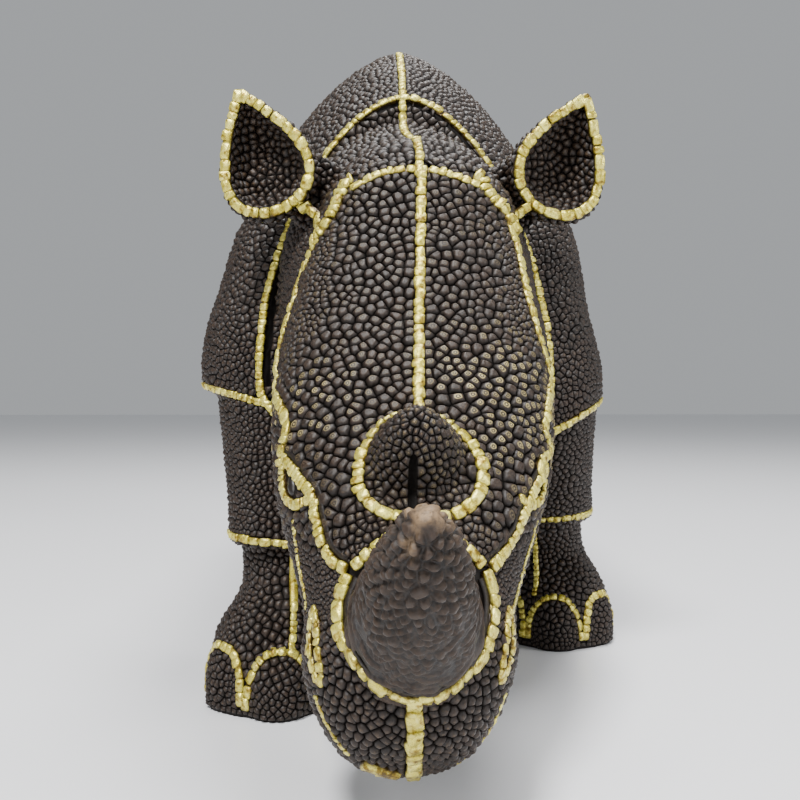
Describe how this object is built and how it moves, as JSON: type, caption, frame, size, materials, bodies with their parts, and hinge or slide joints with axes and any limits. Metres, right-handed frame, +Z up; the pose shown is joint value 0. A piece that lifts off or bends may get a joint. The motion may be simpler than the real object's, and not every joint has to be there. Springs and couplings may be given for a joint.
{
  "type": "rhinoceros figurine",
  "caption": "Cast resin rhinoceros standing mid stride with its head lowered, pebbled dark hide and raised gold beaded seams.",
  "frame": {"origin": "on the floor under the middle of the figure's bounding box", "axes": "+Z up, +Y from the muzzle towards the rump, +X towards the figure's own left side"},
  "size_m": [0.1302, 0.369, 0.2005],
  "materials": {
    "dark_resin": "dark brown pebbled resin, rubbed paler on the raised tips",
    "gilt": "pale gold paint on raised beads, worn and dirty in the gaps",
    "horn_tip": "rubbed tan resin on the ends of the horns"
  },
  "bodies": {
    "root": {"rhinoceros": "dark_resin"}
  },
  "joints": []
}
